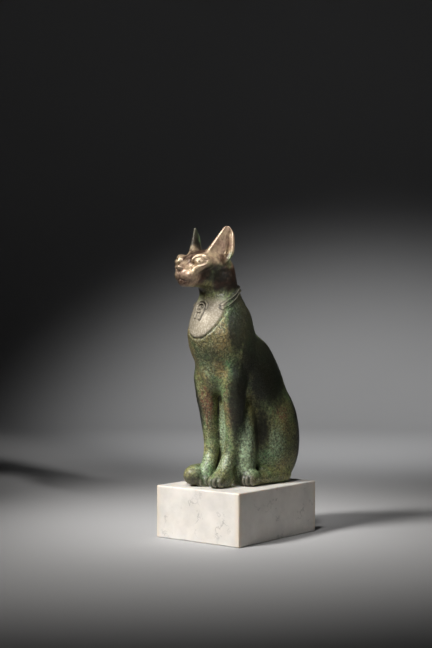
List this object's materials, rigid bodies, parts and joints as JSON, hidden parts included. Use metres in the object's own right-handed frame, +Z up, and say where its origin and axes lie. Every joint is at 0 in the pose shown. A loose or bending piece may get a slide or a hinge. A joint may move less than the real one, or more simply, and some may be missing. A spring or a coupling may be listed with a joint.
{
  "type": "seated cat figure",
  "caption": "Seated cat cast in patinated bronze with upright ears, collar and pendant, tail round its side, on a rectangular white marble block.",
  "frame": {"origin": "centre of the marble block's underside", "axes": "+Z up, the cat faces -Y and its left side is +X"},
  "size_m": [0.08, 0.124, 0.238],
  "materials": {
    "patinated_bronze": "mottled green and brown patina, golden brown on the head",
    "white_marble": "honed white marble with faint grey veins"
  },
  "bodies": {
    "root": {"bronze_cat": "patinated_bronze", "marble_plinth": "white_marble"}
  },
  "joints": []
}
